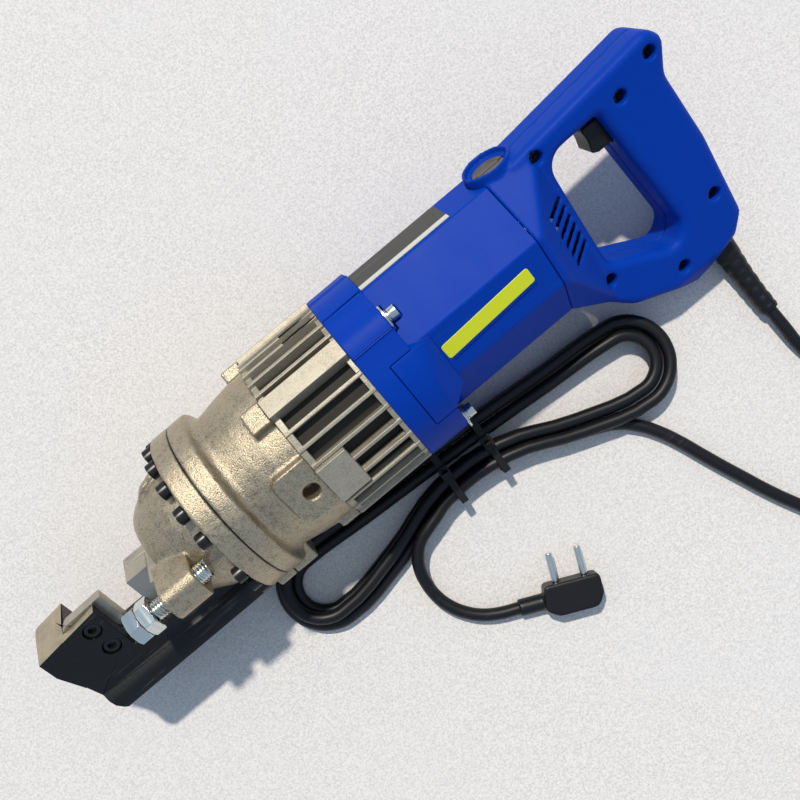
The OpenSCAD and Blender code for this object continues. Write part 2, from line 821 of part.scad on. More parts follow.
module motor_housing() {
  color(cast_silver) lie() difference() {
    union() {
      rod(housing_x0, housing_x1, housing_tube_r);
      rod(housing_x0, housing_x0 + 4, rib_r - 0.4);
      rod(housing_x1 - 3, housing_x1, rib_r);
      // corner columns for the long bolts
      for (a = [-column_angle, column_angle])
        corner_column(a, housing_x0, housing_x1, column_top_r, column_w - 3);
      for (a = [180 - column_angle, 180 + column_angle])
        corner_column(a, housing_x0, housing_x1, column_low_r, column_w - 3);
      // ribs at the top and bottom
      for (base = [0, 180])
        for (i = [0:rib_n - 1])
          rotate([base + (i - (rib_n - 1) / 2) * 50 / (rib_n - 1), 0, 0])
            translate([housing_x0, -rib_t / 2, housing_tube_r - 2])
              cube([housing_x1 - housing_x0, rib_t, 10.4]);
      // ribs at the two sides
      for (base = [90, 270])
        for (i = [0:6])
          rotate([base + (i - 3) * 12, 0, 0])
            translate([housing_x0, -rib_t / 2, housing_tube_r - 2])
              cube([housing_x1 - housing_x0, rib_t, rest_r - housing_tube_r + 1.6]);
      // flat pad on each side
      for (side = [-1, 1])
        translate([housing_x0, side > 0 ? 40 : -57.8, -16]) cube([20, side > 0 ? 14 : 17.8, 26]);
    }
    rod(-44, housing_x1 + 1, housing_bore_r);
    rod(housing_x0 - 1, -50, housing_bore_r);
    // seats in the bearing web
    rod(-55, -30, 11.3);
    translate([0, 0, pump_shaft_z]) rod(-55, -30, 14);
    // tapped holes of the collar bolts
    collar_bolt_places() rod(-26, housing_x1 + 1, 2.55);
    // cooling air ways through the ribbed wall
    for (a = [-5, 5]) rotate([a, 0, 0]) translate([-30, -1, 44]) cube([14, 2, 20]);
  }
  color(cast_silver) lie() bearing_web();
}

// Web inside the housing that holds the two inner bearings
module bearing_web() {
  difference() {
    rod(-41, -26, housing_bore_r + 0.5);
    rod(-42, -25, 11.05);
    translate([0, 0, pump_shaft_z]) rod(-42, -34, 8.05);
    for (a = [20:40:340]) rotate([a, 0, 0]) translate([0, 0, 33]) rod(-42, -25, 7);
    rod(-42, -35.2, 16);
  }
}

// ---- Collar and cover ----

function collar_outline() = [
  for (i = [0:71])
    let (
      a = i * 5,
      f = a > 180 ? 360 - a : a,
      r = collar_r + collar_top_rise * (bump(f, 0, 22) + bump(f, 180, 22))
        + collar_corner_rise * bump(f, column_angle + 1, 12)
        + collar_low_rise * bump(f, 179 - column_angle, 12)
    )
    [r * sin(a), r * cos(a)]
];

function cover_outline(inset) = rounded([
  [-cover_top_half + inset * 0.4, cover_top_z - inset, 3],
  [cover_top_half - inset * 0.4, cover_top_z - inset, 3],
  [cover_side - inset, cover_side_z1 - inset * 0.4, 3], [cover_side - inset, cover_side_z0, 5],
  [cover_bottom_half - inset * 0.4, cover_bottom_z + inset, 12],
  [-cover_bottom_half + inset * 0.4, cover_bottom_z + inset, 12],
  [-cover_side + inset, cover_side_z0, 5], [-cover_side + inset, cover_side_z1 - inset * 0.4, 3]
]);

// Axes of the four collar bolts
module collar_bolt_places() {
  for (a = [-column_angle, column_angle, 180 - column_angle, 180 + column_angle])
    rotate([a, 0, 0]) translate([0, 0, collar_bolt_r]) children();
}

module collar() {
  color(tool_blue) lie() difference() {
    union() {
      cross_plate_of(collar_outline(), housing_x1, collar_x1);
      // thin raised lines
      for (a = [-47, -15, 15, 47])
        rotate([a, 0, 0]) translate([housing_x1, -0.5, collar_r - 2])
          cube([collar_x1 - housing_x1, 1, a * a > 900 ? 5.3 : 3.6]);
    }
    rod(housing_x1 - 1, cover_x0, housing_bore_r);
    cross_plate_of(cover_outline(-fit_gap), cover_x0 - 0.1, collar_x1 + 1);
    // side cut that lets the cover's sides reach forward
    for (side = [-1, 1])
      translate([collar_side_x1, side > 0 ? cover_side - 4 : -cover_side - 36, -20]) cube([40, 40, 46]);
    collar_bolt_places() rod(housing_x1 - 1, collar_x1 + 1, 3);
  }
}

module motor_cover() {
  color(tool_blue) lie() difference() {
    union() {
      cross_plate_of(cover_outline(0), cover_x0, cover_x1);
      // thin raised line under the side plate
      translate([38, -cover_side - 0.5, 0.6]) rotate([0, -3.5, 0]) cube([62, 1, 1]);
    }
    cross_plate_of(cover_outline(shell_wall), cover_x0 - 1, cover_x1 - 3);
    rod(cover_x1 - 4, cover_x1 + 1, 30);
    // notch round the brush cap's ring
    translate([brush_x, 0, 27]) cylinder(h = 60, r = ring_boss_r + 0.3);
    translate([brush_x, 0, -80]) cylinder(h = 53, r = brush_cap_r + 1);
    // room for the washers
    collar_bolt_places() rod(collar_x1 - 0.1, collar_x1 + 2.8, washer_r + 0.5);
    collar_bolt_places() rod(cover_x0 - 1, collar_x1 + 1, 3.4);
    collar_bolt_places() rod(collar_x1 - 0.1, collar_x1 + 9, 4.8);
  }
  color(tool_blue) lie() cover_ribs();
  color(tool_blue) lie() for (side = [-1, 1]) cover_tongue(side);
}

// Part of the cover's side that fills the collar's side cut and slopes back to the cover
module cover_tongue(side) {
  hull() {
    intersection() {
      cross_plate_of(collar_outline(), collar_side_x1 + 0.3, collar_x1);
      translate([0, side > 0 ? cover_side - 2 : -cover_side - 34, -19.7]) cube([60, 36, 45.4]);
    }
    translate([collar_x1, side > 0 ? cover_side - 2 : -cover_side - 0.5, -14]) cube([12.5, 2.5, 36]);
  }
}

// Ribs inside the cover that hold the stator
module cover_ribs() {
  for (x = [cover_x0 + 30, cover_x0 + 62])
    difference() {
      cross_plate_of(cover_outline(shell_wall), x, x + 4);
      rod(x - 1, x + 5, 34.5);
    }
}

module collar_bolts() {
  color(zinc) lie()
    collar_bolt_places() translate([collar_x1 + 8.2, 0, 0]) rotate([0, 0, 180])
      difference() {
        socket_screw(4.25, 5, 2.5, 45);
        rod(-1, 3, 2);
      }
}

module collar_washers() {
  color(zinc) lie()
    collar_bolt_places() {
      ring(collar_x1, collar_x1 + 1.5, 2.6, washer_r);
      ring(collar_x1 + 1.6, collar_x1 + 3.1, 2.6, 4.4);
    }
}

module rating_plate() {
  color([0.2, 0.2, 0.18]) lie()
    translate([22.4, -13, cover_top_z]) cube([64, 26, 0.4]);
}

module side_plate() {
  color([0.84, 0.86, 0.05]) lie()
    translate([36, -cover_side - 0.4, 2.5]) rotate([0, -3.5, 0])
      side_plate_of(rounded([[0, 0, 1.6], [64, 0, 1.6], [64, 9.8, 1.6], [0, 9.8, 1.6]]), 0, 0.4);
}

module brush_holders() {
  color([0.75, 0.6, 0.3]) lie()
    for (side = [0, 180])
      rotate([side, 0, 0]) translate([82, 0, 14]) difference() {
        translate([-6, -5, 0]) cube([12, 10, 20]);
        translate([-4, -3, -1]) cube([8, 6, 22]);
      }
}

module carbon_brushes() {
  color(rubber_black) lie()
    for (side = [0, 180])
      rotate([side, 0, 0]) translate([78.05, -2.95, 12.1]) cube([7.9, 5.9, 18]);
}

module brush_caps() {
  color([0.32, 0.30, 0.27]) lie()
    for (side = [0, 1])
      translate([brush_x, 0, side == 0 ? brush_ring_z - brush_recess : -44]) mirror([0, 0, side])
        difference() {
          union() {
            translate([0, 0, -4]) cylinder(h = 4, r = brush_cap_r);
            translate([0, 0, -10]) cylinder(h = 6.5, r = brush_cap_r - 2.5);
          }
          translate([-brush_cap_r - 1, -1.2, -1.4]) cube([2 * brush_cap_r + 2, 2.4, 3]);
          translate([0, 0, -0.6]) cylinder(h = 2, r = brush_cap_r - 3);
        }
}

// ---- Handle ----

function handle_outer() = rounded([
  [124, 56.4, 0], [205, 64.4, 60], [232, 67.2, 9], [240.5, 57.5, 7], [231.8, 38, 14], [237, -10, 60],
  [237.5, -67, 11], [228, -79, 9], [194, -91, 6], [150, -71.5, 20], [131, -52, 6], [124, -44, 0]
]);

function handle_hole() = rounded([
  [148.5, 43.8, 12], [186, 44.8, 3], [190, 17, 6], [199.5, -46, 9], [190.5, -57, 9], [149, -34, 5]
]);

// Rounded body of the D handle
module d_body() {
  minkowski() {
    translate([0, grip_half - grip_round, 0]) rotate([90, 0, 0]) linear_extrude(2 * (grip_half - grip_round))
      difference() {
        offset(delta = -grip_round) polygon(handle_outer());
        offset(delta = grip_round) polygon(handle_hole());
      }
    sphere(r = grip_round, $fn = 12);
  }
}

// Body that joins the cover's section to the D handle
module neck_body(inset) {
  hull() {
    cross_plate_of(cover_outline(inset), handle_x0, handle_x0 + 4);
    cross_plate_of(rounded([
      [-17.6 + inset, -60 + inset, 6], [-17.6 + inset, 56.5 - inset, 6], [17.6 - inset, 56.5 - inset, 6],
      [17.6 - inset, -60 + inset, 6]
    ]), 140, 143);
  }
}

// Posts through which the handle screws pass
module screw_posts() {
  for (p = screw_points)
    translate([p[0], 0, p[1]]) rotate([90, 0, 0]) cylinder(h = 100, r = 5, center = true);
}

module handle_shell() {
  difference() {
    union() {
      d_body();
      neck_body(0);
      translate([brush_x, 0, 40]) cylinder(h = brush_ring_z - 40, r = ring_boss_r);
    }
    difference() {
      union() {
        // hollow of the neck, open to the cover
        intersection() {
          neck_body(shell_wall);
          translate([handle_x0 - 1, -50, -80]) cube([38, 100, 130]);
        }
        // hollow of the grip
        side_plate_of([
          [206, 47], [229, 47], [228.5, 37], [232.5, -8], [232.5, -64], [229.5, -67], [207.5, -67],
          [204.5, -58], [204, -46], [196.5, 0], [206, 5]
        ], -12, 12);
      }
      screw_posts();
      translate([brush_x, 0, 36]) cylinder(h = 40, r = ring_boss_r);
    }
    rod(handle_x0 - 1, handle_x0 + 5, 30);
    // way of the trigger
    translate([183, -trigger_half - 0.4, trigger_z0 - 0.5])
      cube([30, 2 * trigger_half + 0.8, trigger_z1 - trigger_z0 + 1]);
    // brush cap wells
    translate([brush_x, 0, brush_ring_z - brush_recess]) cylinder(h = 20, r = 13.5);
    translate([brush_x, 0, brush_ring_z - brush_recess - 12]) cylinder(h = 30, r = brush_cap_r + 0.05);
    translate([brush_x, 0, -80]) cylinder(h = 36, r = brush_cap_r + 3);
    translate([brush_x, 0, -56]) cylinder(h = 30, r = brush_cap_r + 0.05);
    // strain relief
    translate([relief_x, 0, -100]) cylinder(h = 34, r = 9);
    // louvres on both sides of the neck
    for (side = [-1, 1])
      for (i = [0:5])
        translate([127.5, side * 27 - 12, -13 + 6.6 * i]) cube([16, 24, 3]);
    // lower edges bevelled, so that the tool rests on one of them
    for (side = [0, 1])
      mirror([0, side, 0]) rotate([90 - roll, 0, 0]) translate([100, -200, -rest_r - 60])
        cube([180, 400, 60]);
    // screws, sunk from the near side
    for (p = screw_points) {
      translate([p[0], 0, p[1]]) rotate([90, 0, 0]) cylinder(h = 60, r = 2.1, center = true);
      translate([p[0], -screw_seat_y, p[1]]) rotate([90, 0, 0]) cylinder(h = 40, r = 4.2);
    }
  }
}

module handle_left() {
  color(tool_blue) lie() intersection() {
    handle_shell();
    translate([100, -80, -120]) cube([170, 80, 240]);
  }
}

module handle_right() {
  color(tool_blue) lie() intersection() {
    handle_shell();
    translate([100, 0, -120]) cube([170, 80, 240]);
  }
}

module handle_screws() {
  color(screw_black) lie()
    for (p = screw_points)
      translate([p[0], -screw_seat_y - 3, p[1]]) rotate([-90, 0, 0]) difference() {
        union() {
          cylinder(h = 3, r = 3.8);
          cylinder(h = 18, r = 2);
        }
        translate([-0.5, -3, -1]) cube([1, 6, 2.2]);
        translate([-3, -0.5, -1]) cube([6, 1, 2.2]);
      }
}

module trigger() {
  profile = rounded([
    [trigger_x, trigger_z1, 2], [trigger_x + 1.5, 34, 20], [trigger_x, trigger_z0 + 2, 2],
    [trigger_x + 4, trigger_z0, 2], [trigger_back_x, trigger_z0, 1], [trigger_back_x, trigger_z1, 1]
  ]);
  color(rubber_black) lie() difference() {
    side_plate_of(profile, -trigger_half, trigger_half);
    translate([trigger_back_x - 10, 0, 32]) rod(0, 20, 4.5);
  }
}

module trigger_spring() {
  turns = 5;
  n = turns * 8;
  length = 213.2 - (trigger_back_x - 9.4);
  route = [
    for (i = [0:n])
      let (a = 360 * turns * i / n)
      [trigger_back_x - 9.4 + length * i / n, 3.2 * cos(a), 3.2 * sin(a)]
  ];
  color(zinc) lie() translate([0, 0, 32]) coil_tube(route, 0.5, 6);
}

module switch_body() {
  color([0.15, 0.15, 0.16]) lie() difference() {
    translate([214, -9, 8]) cube([14.5, 18, 38]);
    for (z = [14, 24]) translate([222, -7, z]) rotate([0, 90, 0]) cylinder(h = 10, r = 1.6);
  }
}

module cord_clamp() {
  color(rubber_black) lie() difference() {
    translate([relief_x - 11, -11.5, -64]) cube([20, 23, 8]);
    translate([relief_x, 0, -70]) cylinder(h = 20, r = cord_d / 2 + 0.2);
  }
}

// ---- Cord ----

module strain_relief() {
  color(rubber_black) on_floor() swept(relief_route, relief_radius, 12);
}

module cord_lead() {
  color(rubber_black) on_floor() swept(lead_route, even_radii(lead_route, cord_r), 8);
}

module cord_tail() {
  color(rubber_black) on_floor() swept(tail_route, even_radii(tail_route, cord_r), 8);
}

module cord_hank() {
  gaps = [
    for (i = [0:len(hank_route) - 12])
      for (j = [i + 11:len(hank_route) - 1])
        norm(hank_route[i] - hank_route[j])
  ];
  echo(hank_least_gap = min(gaps) - cord_d);
  color(rubber_black) on_floor() swept(hank_route, even_radii(hank_route, cord_r), 6, 0);
}

// Cable ties round the waist of the hank
module cable_ties() {
  top = cord_floor_z + hank_pitch + tie_t + 0.9 + cord_r + 0.3;
  color(rubber_black) on_floor()
    translate([hank_centre[0], hank_centre[1], 0]) rotate([0, 0, hank_angle])
      for (x = [-15, 18])
        translate([x, tie_y, 0]) {
          difference() {
            translate([-2.4, -tie_half - tie_t, 0]) cube([4.8, 2 * (tie_half + tie_t), top + tie_t]);
            translate([-3, -tie_half, tie_t]) cube([6, 2 * tie_half, top - tie_t]);
          }
          translate([-3.5, -6, top + tie_t]) cube([7, 8, 4]);
          translate([-2.2, -2.6, top + tie_t + 3.9]) cube([4.4, 1.2, 12]);
        }
}

module plug_body() {
  color(rubber_black) on_floor() translate([plug_place[0], plug_place[1], 0]) rotate([0, 0, plug_angle]) {
    translate([0, 0, 5.6]) rod(0, 20, 5.6);
    translate([0, 0, 0]) linear_extrude(15) polygon(rounded([
      [16, -5, 3], [24, -10, 6], [50, -10, 6], [55, -2, 5], [55, 11, 3], [18, 11, 3]
    ]));
  }
}

module plug_pins() {
  color(zinc) on_floor() translate([plug_place[0], plug_place[1], 0]) rotate([0, 0, plug_angle])
    for (x = [27, 46])
      translate([x, 11, 7.5]) rotate([-90, 0, 0]) cylinder(h = 19, r = pin_d / 2);
}

cutter_frame();
fixed_blade();
fixed_blade_screws();
moving_blade();
moving_blade_screws();
ram();
piston_seal();
return_spring();
cylinder_liner();
front_casting();
wiper_seal();
frame_bolts();
stopper_bolt();
stopper_nuts();
flange_screws();
flange_gasket();
pump_body();
oil_bladder();
pump_block();
pump_plunger();
pump_shaft();
eccentric_bearing();
pump_shaft_bearings();
reduction_gear();
armature_shaft();
armature_core();
commutator();
cooling_fan();
armature_bearings();
stator_core();
motor_housing();
collar();
motor_cover();
collar_bolts();
collar_washers();
rating_plate();
side_plate();
brush_holders();
carbon_brushes();
brush_caps();
handle_left();
handle_right();
handle_screws();
trigger();
trigger_spring();
switch_body();
cord_clamp();
strain_relief();
cord_lead();
cord_hank();
cord_tail();
cable_ties();
plug_body();
plug_pins();
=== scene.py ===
# Rebar cutter lying on a pale floor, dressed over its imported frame
import bpy
import bmesh
import json
import math
from mathutils import Matrix, Vector


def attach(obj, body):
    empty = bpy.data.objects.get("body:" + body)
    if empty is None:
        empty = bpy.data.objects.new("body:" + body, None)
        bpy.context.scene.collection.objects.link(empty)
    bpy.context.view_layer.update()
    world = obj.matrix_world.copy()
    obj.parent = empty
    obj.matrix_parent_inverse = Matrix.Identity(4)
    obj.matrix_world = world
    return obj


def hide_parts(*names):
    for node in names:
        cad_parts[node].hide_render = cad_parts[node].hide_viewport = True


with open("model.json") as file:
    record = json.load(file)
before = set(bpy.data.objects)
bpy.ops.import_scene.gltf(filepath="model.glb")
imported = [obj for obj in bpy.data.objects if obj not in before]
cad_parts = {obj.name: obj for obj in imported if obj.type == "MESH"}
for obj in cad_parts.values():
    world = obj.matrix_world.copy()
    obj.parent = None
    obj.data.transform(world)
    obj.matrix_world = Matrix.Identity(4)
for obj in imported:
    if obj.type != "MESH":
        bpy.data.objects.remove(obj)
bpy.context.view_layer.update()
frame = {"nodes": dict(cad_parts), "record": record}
nodeBody = {n: b for b, ns in frame["record"]["behaviour"]["bodies"].items() for n in ns}
nodeSlot = {s["node"]: s["material_slot"] for s in frame["record"]["subparts"]}
print("frame loaded:", len(frame["nodes"]), "nodes")

mm = 0.001
toolPose = {"roll": 31, "axisHeight": 56, "shiftX": 10.75, "shiftY": 32.54}  # millimetres and degrees
toolMatrix = (
    Matrix.Scale(mm, 4)
    @ Matrix.Translation((toolPose["shiftX"], toolPose["shiftY"], toolPose["axisHeight"]))
    @ Matrix.Rotation(math.radians(toolPose["roll"] - 90), 4, "X")
)
floorMatrix = Matrix.Scale(mm, 4) @ Matrix.Translation((toolPose["shiftX"], toolPose["shiftY"], 0))


def placed(name, data):
    piece = bpy.data.objects.new(name, data)
    bpy.context.scene.collection.objects.link(piece)
    return piece


# Camera
view = {"lens": 42.75, "height": 621, "alongTool": 0, "acrossTool": -20, "turn": -40}
cameraData = bpy.data.cameras.new("camera")
cameraData.lens = view["lens"]
cameraData.clip_start = 0.01
camera = placed("camera", cameraData)
camera.location = floorMatrix @ Vector((view["alongTool"], view["acrossTool"], view["height"]))
camera.rotation_euler = (0, 0, math.radians(view["turn"]))
bpy.context.scene.camera = camera
print("camera placed")


# Helpers for meshes
def settle(piece, body, slotName, material, *replaced):
    piece.data.materials.clear()
    piece.data.materials.append(material)
    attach(piece, body)
    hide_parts(*replaced)
    return piece


def applied(piece):
    # the modifiers' result as a plain mesh
    bpy.context.view_layer.update()
    evaluated = piece.evaluated_get(bpy.context.evaluated_depsgraph_get())
    mesh = bpy.data.meshes.new_from_object(evaluated)
    piece.modifiers.clear()
    old = piece.data
    piece.data = mesh
    mesh.name = piece.name
    if old.users == 0 and isinstance(old, bpy.types.Mesh):
        bpy.data.meshes.remove(old)
    return piece


def shaded(piece, angle):
    piece.data.shade_smooth()
    piece.data.set_sharp_from_angle(angle=math.radians(angle))
    return piece


def builtObject(name, work):
    mesh = bpy.data.meshes.new(name)
    work.to_mesh(mesh)
    work.free()
    return placed(name, mesh)


def mergedCopy(node, flatten):
    # the node's own solid with its shared corners joined, for the modifiers to work on
    weldGap, flatAngle = 2e-6, 0.4
    work = bmesh.new()
    work.from_mesh(frame["nodes"][node].data)
    bmesh.ops.remove_doubles(work, verts=work.verts, dist=weldGap)
    if flatten:
        bmesh.ops.dissolve_limit(work, angle_limit=math.radians(flatAngle), verts=work.verts,
                                 edges=work.edges)
    return builtObject(node + "Skin", work)


def softened(node, material, width, segments):
    # a machined or stamped piece: every sharp edge gets a small round
    roundedFrom, sharpFrom = 38, 32
    piece = mergedCopy(node, True)
    bevel = piece.modifiers.new("edges", "BEVEL")
    bevel.width = width * mm
    bevel.segments = segments
    bevel.limit_method = "ANGLE"
    bevel.angle_limit = math.radians(roundedFrom)
    bevel.use_clamp_overlap = False
    bevel.miter_outer = "MITER_ARC"
    shaded(applied(piece), sharpFrom)
    even = piece.modifiers.new("even", "WEIGHTED_NORMAL")
    even.mode = "FACE_AREA"
    even.keep_sharp = True
    applied(piece)
    return settle(piece, nodeBody[node], nodeSlot[node], material, node)


def moulded(node, material, voxel, rounds):
    # a cast or moulded piece: corners and fillets flow into each other
    strength, sharpFrom = 0.5, 60
    piece = mergedCopy(node, False)
    remesh = piece.modifiers.new("voxels", "REMESH")
    remesh.mode = "VOXEL"
    remesh.voxel_size = voxel * mm
    smooth = piece.modifiers.new("flow", "SMOOTH")
    smooth.factor = strength
    smooth.iterations = rounds
    shaded(applied(piece), sharpFrom)
    return settle(piece, nodeBody[node], nodeSlot[node], material, node)


# Helpers for materials
def link(tree, a, b):
    tree.links.new(a, b)


def newMaterial(name):
    material = bpy.data.materials.new(name)
    material.use_nodes = True
    tree = material.node_tree
    shader = tree.nodes["Principled BSDF"]
    return material, tree, shader


def groupNode(tree, group, **values):
    node = tree.nodes.new("ShaderNodeGroup")
    node.node_tree = group
    for key, value in values.items():
        node.inputs[key].default_value = value
    return node


def toolSpace(tree):
    # Object coordinates turned back to the tool's own axes, in metres
    coords = tree.nodes.new("ShaderNodeTexCoord")
    mapping = tree.nodes.new("ShaderNodeMapping")
    mapping.inputs["Rotation"].default_value = (math.radians(90 - toolPose["roll"]), 0, 0)
    mapping.inputs["Location"].default_value = toolMatrix.inverted().translation * mm
    link(tree, coords.outputs["Object"], mapping.inputs["Vector"])
    return mapping.outputs["Vector"]


def separated(tree, vector):
    axes = tree.nodes.new("ShaderNodeSeparateXYZ")
    link(tree, vector, axes.inputs["Vector"])
    return axes.outputs


def addBump(tree, shader, height, strength, distance):
    bump = tree.nodes.new("ShaderNodeBump")
    bump.inputs["Strength"].default_value = strength
    bump.inputs["Distance"].default_value = distance * mm
    link(tree, height, bump.inputs["Height"])
    link(tree, bump.outputs["Normal"], shader.inputs["Normal"])


def mathNode(tree, operation, a, b=0.0, c=0.0):
    node = tree.nodes.new("ShaderNodeMath")
    node.operation = operation
    for socket, value in zip(node.inputs, (a, b, c)):
        if isinstance(value, (int, float)):
            socket.default_value = value
        else:
            link(tree, value, socket)
    return node.outputs[0]


def rangeNode(tree, value, low, high, toLow=0.0, toHigh=1.0):
    node = tree.nodes.new("ShaderNodeMapRange")
    node.inputs["From Min"].default_value = low
    node.inputs["From Max"].default_value = high
    node.inputs["To Min"].default_value = toLow
    node.inputs["To Max"].default_value = toHigh
    link(tree, value, node.inputs["Value"])
    return node.outputs["Result"]


def mixColour(tree, factor, a, b):
    node = tree.nodes.new("ShaderNodeMix")
    node.data_type = "RGBA"
    sockets = {"Factor": node.inputs[0], "A": node.inputs[6], "B": node.inputs[7]}
    for key, value in (("Factor", factor), ("A", a), ("B", b)):
        if isinstance(value, (tuple, list)):
            sockets[key].default_value = (*value[:3], 1)
        elif isinstance(value, (int, float)):
            sockets[key].default_value = value
        else:
            link(tree, value, sockets[key])
    return node.outputs[2]


def noiseNode(tree, vector, scale, detail, rough, stretch=None):
    noise = tree.nodes.new("ShaderNodeTexNoise")
    noise.inputs["Detail"].default_value = detail
    noise.inputs["Roughness"].default_value = rough
    if isinstance(scale, (int, float)):
        noise.inputs["Scale"].default_value = scale
    else:
        link(tree, scale, noise.inputs["Scale"])
    if stretch:
        mapping = tree.nodes.new("ShaderNodeMapping")
        mapping.inputs["Scale"].default_value = stretch
        link(tree, vector, mapping.inputs["Vector"])
        vector = mapping.outputs["Vector"]
    link(tree, vector, noise.inputs["Vector"])
    return noise.outputs["Fac"]


def newGroup(name, inputs, outputs):
    group = bpy.data.node_groups.new(name, "ShaderNodeTree")
    kinds = {"float": "NodeSocketFloat", "colour": "NodeSocketColor", "vector": "NodeSocketVector"}
    for key, kind in inputs:
        group.interface.new_socket(key, in_out="INPUT", socket_type=kinds[kind])
    for key, kind in outputs:
        group.interface.new_socket(key, in_out="OUTPUT", socket_type=kinds[kind])
    return group, group.nodes.new("NodeGroupInput"), group.nodes.new("NodeGroupOutput")


surfaceOutputs = [("Color", "colour"), ("Roughness", "float"), ("Height", "float")]


def makeSandCast():
    # grainy skin of a sand casting under thin paint: grains and soft dents, with a grain tone that
    # varies at random and turns to painted shade, the Shade colour, in the low places
    group, start, end = newGroup("sandCast", [
        ("Vector", "vector"), ("Base", "colour"), ("Shade", "colour"), ("Grain", "float"),
        ("Lumps", "float")
    ], surfaceOutputs)
    vector = start.outputs["Vector"]
    grains = noiseNode(group, vector, start.outputs["Grain"], 4, 0.65)
    lumps = noiseNode(group, vector, start.outputs["Lumps"], 2, 0.5)
    pits = rangeNode(group, grains, 0.32, 0.62)
    mix = mathNode(group, "MULTIPLY_ADD", lumps, 0.5, mathNode(group, "MULTIPLY", pits, 0.5))
    # where the grain and lumps lie low the colour goes to Shade: painted shade in the pits and dents
    painted = rangeNode(group, mix, 0.25, 0.62)
    link(group, mixColour(group, painted, start.outputs["Shade"], start.outputs["Base"]),
         end.inputs["Color"])
    link(group, rangeNode(group, lumps, 0.3, 0.7, 0.3, 0.44), end.inputs["Roughness"])
    link(group, mathNode(group, "MULTIPLY_ADD", pits, 0.6, mathNode(group, "MULTIPLY", lumps, 1.2)),
         end.inputs["Height"])
    return group


def makeHandling():
    # smudges and fine scratches of use on plastic, rubber and metal
    group, start, end = newGroup("handling", [
        ("Vector", "vector"), ("Base", "colour"), ("Worn", "colour"), ("Amount", "float"),
        ("Gloss", "float"), ("Grain", "float")
    ], surfaceOutputs)
    vector = start.outputs["Vector"]
    smudge = noiseNode(group, vector, 22, 4, 0.6)
    scratch = noiseNode(group, vector, 260, 2, 0.5, (0.06, 1, 1))
    grain = noiseNode(group, vector, start.outputs["Grain"], 2, 0.5)
    wear = mathNode(group, "MULTIPLY", rangeNode(group, scratch, 0.62, 0.74),
                    rangeNode(group, smudge, 0.45, 0.65))
    wear = mathNode(group, "MULTIPLY", wear, start.outputs["Amount"])
    link(group, mixColour(group, wear, start.outputs["Base"], start.outputs["Worn"]),
         end.inputs["Color"])
    greasy = rangeNode(group, smudge, 0.35, 0.7, -0.02, 0.05)
    gloss = mathNode(group, "ADD", start.outputs["Gloss"], greasy)
    link(group, mathNode(group, "MULTIPLY_ADD", wear, 0.2, gloss), end.inputs["Roughness"])
    link(group, mathNode(group, "MULTIPLY_ADD", wear, -0.3, grain), end.inputs["Height"])
    return group


def makeGround():
    # ground or turned steel: long fine streaks with darker oil marks
    group, start, end = newGroup("groundSteel", [
        ("Vector", "vector"), ("Base", "colour"), ("Oil", "colour"), ("Gloss", "float")
    ], surfaceOutputs)
    vector = start.outputs["Vector"]
    streak = noiseNode(group, vector, 420, 3, 0.6, (1, 0.05, 0.05))
    marks = noiseNode(group, vector, 55, 4, 0.6)
    link(group, mixColour(group, rangeNode(group, marks, 0.5, 0.75, 0, 0.7), start.outputs["Base"],
                          start.outputs["Oil"]), end.inputs["Color"])
    streaky = rangeNode(group, streak, 0.3, 0.7, -0.06, 0.1)
    link(group, mathNode(group, "ADD", start.outputs["Gloss"], streaky), end.inputs["Roughness"])
    link(group, streak, end.inputs["Height"])
    return group


sandCast, handling, groundSteel = makeSandCast(), makeHandling(), makeGround()


def tone(r, g, b):
    return (r, g, b, 1)


def finishMaterial(name, group, metallic, bump, values, spec=0.5):
    # bump: strength and height in millimetres
    material, tree, shader = newMaterial(name)
    node = groupNode(tree, group, **values)
    link(tree, toolSpace(tree), node.inputs["Vector"])
    link(tree, node.outputs["Color"], shader.inputs["Base Color"])
    link(tree, node.outputs["Roughness"], shader.inputs["Roughness"])
    addBump(tree, shader, node.outputs["Height"], *bump)
    shader.inputs["Metallic"].default_value = metallic
    shader.inputs["Specular IOR Level"].default_value = spec
    return material


castPaint = finishMaterial("castPaint", sandCast, 0.85, (0.4, 0.5), {
    "Base": tone(0.48, 0.405, 0.285), "Shade": tone(0.21, 0.172, 0.112), "Grain": 1200, "Lumps": 260})
bluePlastic = finishMaterial("bluePlastic", handling, 0, (0.06, 0.2), {
    "Base": tone(0.0, 0.037, 0.335), "Worn": tone(0.01, 0.09, 0.42), "Amount": 0.2, "Gloss": 0.48,
    "Grain": 1500}, spec=0.08)
blackRubber = finishMaterial("blackRubber", handling, 0, (0.1, 0.2), {
    "Base": tone(0.005, 0.005, 0.006), "Worn": tone(0.05, 0.05, 0.05), "Amount": 0.35, "Gloss": 0.42,
    "Grain": 900}, spec=0.32)
blackPlastic = finishMaterial("blackPlastic", handling, 0, (0.08, 0.2), {
    "Base": tone(0.005, 0.005, 0.006), "Worn": tone(0.06, 0.06, 0.06), "Amount": 0.3, "Gloss": 0.4,
    "Grain": 1100}, spec=0.3)
blackOxide = finishMaterial("blackOxide", handling, 0.6, (0.1, 0.2), {
    "Base": tone(0.022, 0.022, 0.022), "Worn": tone(0.2, 0.19, 0.17), "Amount": 0.8, "Gloss": 0.3,
    "Grain": 700})
zincPlate = finishMaterial("zincPlate", groundSteel, 1, (0.08, 0.2), {
    "Base": tone(0.70, 0.73, 0.69), "Oil": tone(0.50, 0.56, 0.50), "Gloss": 0.22})
bareSteel = finishMaterial("bareSteel", groundSteel, 1, (0.12, 0.2), {
    "Base": tone(0.50, 0.455, 0.375), "Oil": tone(0.27, 0.24, 0.19), "Gloss": 0.33})
brownPhenolic = finishMaterial("brownPhenolic", handling, 0, (0.15, 0.3), {
    "Base": tone(0.085, 0.075, 0.066), "Worn": tone(0.22, 0.2, 0.18), "Amount": 0.8, "Gloss": 0.4,
    "Grain": 1200})
